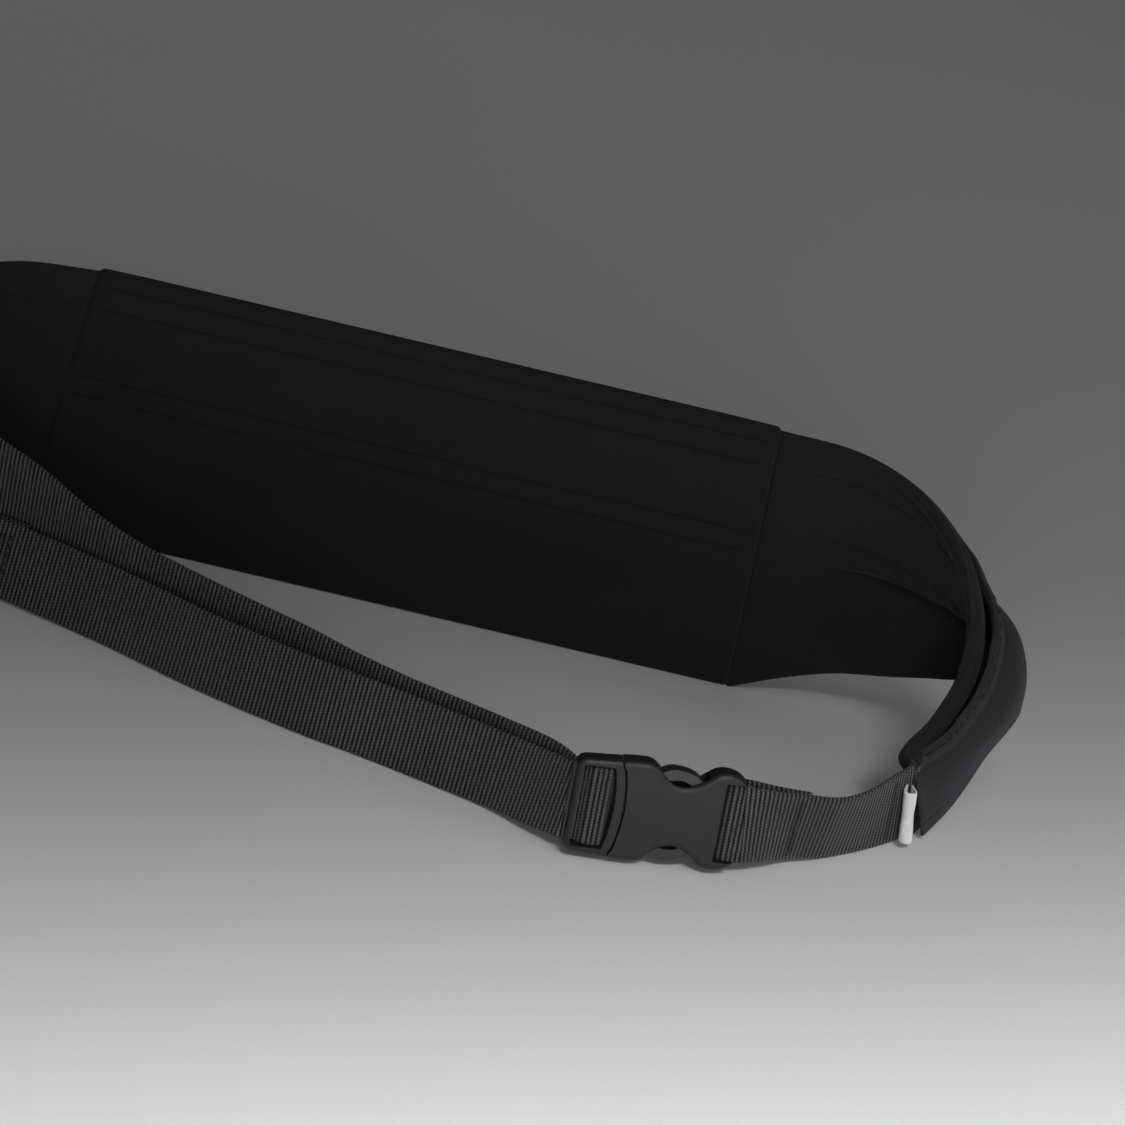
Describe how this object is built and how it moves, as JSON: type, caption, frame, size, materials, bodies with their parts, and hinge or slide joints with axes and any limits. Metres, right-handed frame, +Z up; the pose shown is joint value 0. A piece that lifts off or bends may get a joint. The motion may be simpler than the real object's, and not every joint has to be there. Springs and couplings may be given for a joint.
{
  "type": "waist pack",
  "caption": "Belt-style stretch-knit waist pack in a closed loop, with a zipped main pocket, open wing pockets, webbing straps and a side-release buckle.",
  "frame": {"origin": "on the lower edge of the centre module's back panel, at the middle of its thickness, near the middle of its length", "axes": "+X along the centre module towards the buckle's socket side, +Y outwards through the centre module and away from the wearer, +Z up"},
  "size_m": [0.4106, 0.1427, 0.0974],
  "materials": {
    "webbing": "coarse ribbed narrow weave, very dark grey",
    "buckle_plastic": "charcoal moulded plastic with a fine matt grain",
    "elastic": "black woven elastic",
    "lining_mesh": "dark grey lining knit",
    "tab_ribbon": "white satin ribbon",
    "thread": "black sewing thread",
    "zip_tape": "black woven zip tape",
    "zip_coil": "black nylon coil",
    "pull_grip": "black moulded grip",
    "zip_metal": "black lacquered metal",
    "binding": "black folded knit binding",
    "stretch_knit": "matt black stretch knit"
  },
  "bodies": {
    "pack": {"back_panel": "stretch_knit", "bartack_left": "thread", "bartack_loop": "thread", "bartack_right": "thread", "buckle_female": "buckle_plastic", "elastic_band_lower": "elastic", "elastic_band_upper": "elastic", "outer_panel_lower": "stretch_knit", "outer_panel_upper": "stretch_knit", "pocket_binding_left": "binding", "pocket_binding_right": "binding", "pocket_lining": "lining_mesh", "side_tab": "tab_ribbon", "strap_load_far": "webbing", "strap_load_near": "webbing", "strap_right": "webbing", "wing_hem_left": "stretch_knit", "wing_hem_right": "stretch_knit", "wing_inner_left": "stretch_knit", "wing_inner_right": "stretch_knit", "wing_pocket_left": "stretch_knit", "wing_pocket_right": "stretch_knit", "zip_coil_lower": "zip_coil", "zip_coil_upper": "zip_coil", "zip_stop_closed": "zip_metal", "zip_stop_open": "zip_metal", "zip_tape_lower": "zip_tape", "zip_tape_upper": "zip_tape"},
    "plug": {"buckle_male": "buckle_plastic", "strap_bight": "webbing", "strap_tail": "webbing", "strap_tail_hem": "webbing"},
    "arm_upper": {"buckle_arm_upper": "buckle_plastic"},
    "arm_lower": {"buckle_arm_lower": "buckle_plastic"},
    "slider": {"zip_slider": "zip_metal"},
    "pull": {"zip_pull": "pull_grip"}
  },
  "joints": [
    {"name": "buckle_release", "type": "slide", "parent": "pack", "child": "plug", "axis": [-0.9823, -0.1874, 0], "range_m": [0, 0.03], "deforming": ["strap_load_near", "buckle_arm_upper", "buckle_arm_lower"]},
    {"name": "arm_press_upper", "type": "hinge", "parent": "plug", "child": "arm_upper", "pos_m": [0.08899, -0.11069, 0.02607], "axis": [-0.1826, 0.9571, -0.225], "range_deg": [0, 8], "stiffness_Nm_per_rad": 0.05},
    {"name": "arm_press_lower", "type": "hinge", "parent": "plug", "child": "arm_lower", "pos_m": [0.08975, -0.11471, 0.00833], "axis": [0.1826, -0.9571, 0.225], "range_deg": [0, 8], "stiffness_Nm_per_rad": 0.05},
    {"name": "zip_travel", "type": "slide", "parent": "pack", "child": "slider", "axis": [-1, 0, 0], "range_m": [0, 0.163], "deforming": ["zip_coil_upper", "zip_coil_lower"]},
    {"name": "pull_swing", "type": "hinge", "parent": "slider", "child": "pull", "pos_m": [0.082, 0.01765, 0.07], "axis": [1, 0, 0], "range_deg": [0, 150]}
  ]
}
